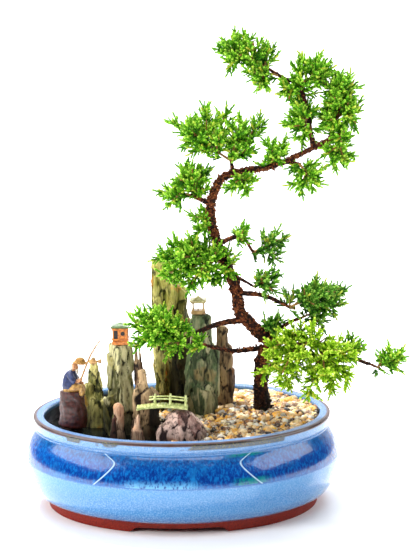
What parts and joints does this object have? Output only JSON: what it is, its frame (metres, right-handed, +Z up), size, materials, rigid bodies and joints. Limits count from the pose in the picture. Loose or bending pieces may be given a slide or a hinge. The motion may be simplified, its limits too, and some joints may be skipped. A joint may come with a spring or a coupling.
{
  "type": "juniper bonsai",
  "caption": "Juniper bonsai with a curved trunk and leafy sprays in an oval glazed pot, half pool and half gravel, with standing rocks and clay figures.",
  "frame": {"origin": "bottom centre of the whole object's box, on the plane that the pot stands on", "axes": "+Z up, -Y towards the front of the pot, +X to the right as seen from the front"},
  "size_m": [0.3656, 0.235, 0.4495],
  "materials": {
    "pot_glaze": "glossy blue glaze over a pale speckled lower belly, bare red-brown clay at the foot",
    "water": "still dark water, mirror smooth",
    "soil": "damp dark potting soil",
    "gravel": "small mixed river pebbles in beige, yellow, orange, white and grey",
    "stone_olive": "layered yellow-green slate with orange streaks and dark clefts",
    "stone_brown": "dark brown slate with pale patches",
    "stone_rose": "mauve-brown weathered stone",
    "figure_glaze": "glazed clay figure: orange straw hat, navy jacket, tan trousers, brown rock",
    "bamboo": "thin brown bamboo",
    "catch_clay": "tan clay fish on a thin stiff line",
    "pavilion_orange": "orange glazed walls under a green roof",
    "pavilion_cream": "cream glaze",
    "bridge_cream": "cream and yellow-green glaze",
    "bark": "rough scaly dark brown bark with red-brown flakes",
    "foliage": "dense short awl leaves, bright green with yellow-green tips"
  },
  "bodies": {
    "root": {"pot": "pot_glaze", "water": "water", "soil": "soil", "gravel": "gravel", "rock_tall": "stone_olive", "rock_right": "stone_olive", "rock_brown": "stone_brown", "rock_pavilion": "stone_olive", "rock_left": "stone_olive", "rock_mid": "stone_brown", "rock_back": "stone_brown", "rock_rose": "stone_rose", "rock_pier": "stone_rose", "rock_low": "stone_brown", "rock_fisherman": "stone_brown", "boulder": "stone_rose", "fisherman": "figure_glaze", "rod": "bamboo", "catch": "catch_clay", "pavilion_left": "pavilion_orange", "pavilion_right": "pavilion_cream", "bridge": "bridge_cream", "trunk": "bark", "spray_top": "foliage", "spray_under_top": "foliage", "spray_small": "foliage", "spray_upper": "foliage", "spray_crest": "foliage", "spray_right": "foliage", "spray_inner": "foliage", "spray_hanging": "foliage", "spray_below": "foliage", "spray_trunk_top": "foliage", "spray_crown": "foliage", "spray_left": "foliage", "spray_left_tip": "foliage", "spray_neck": "foliage", "spray_middle": "foliage", "spray_over_limb": "foliage", "spray_back": "foliage", "spray_thin": "foliage", "spray_mid_right": "foliage", "spray_stub": "foliage", "spray_low_left": "foliage", "spray_low_tuft": "foliage", "spray_front": "foliage", "spray_lower_mid": "foliage", "spray_lower_tip": "foliage", "spray_sprig": "foliage", "spray_under_trunk": "foliage"}
  },
  "joints": []
}
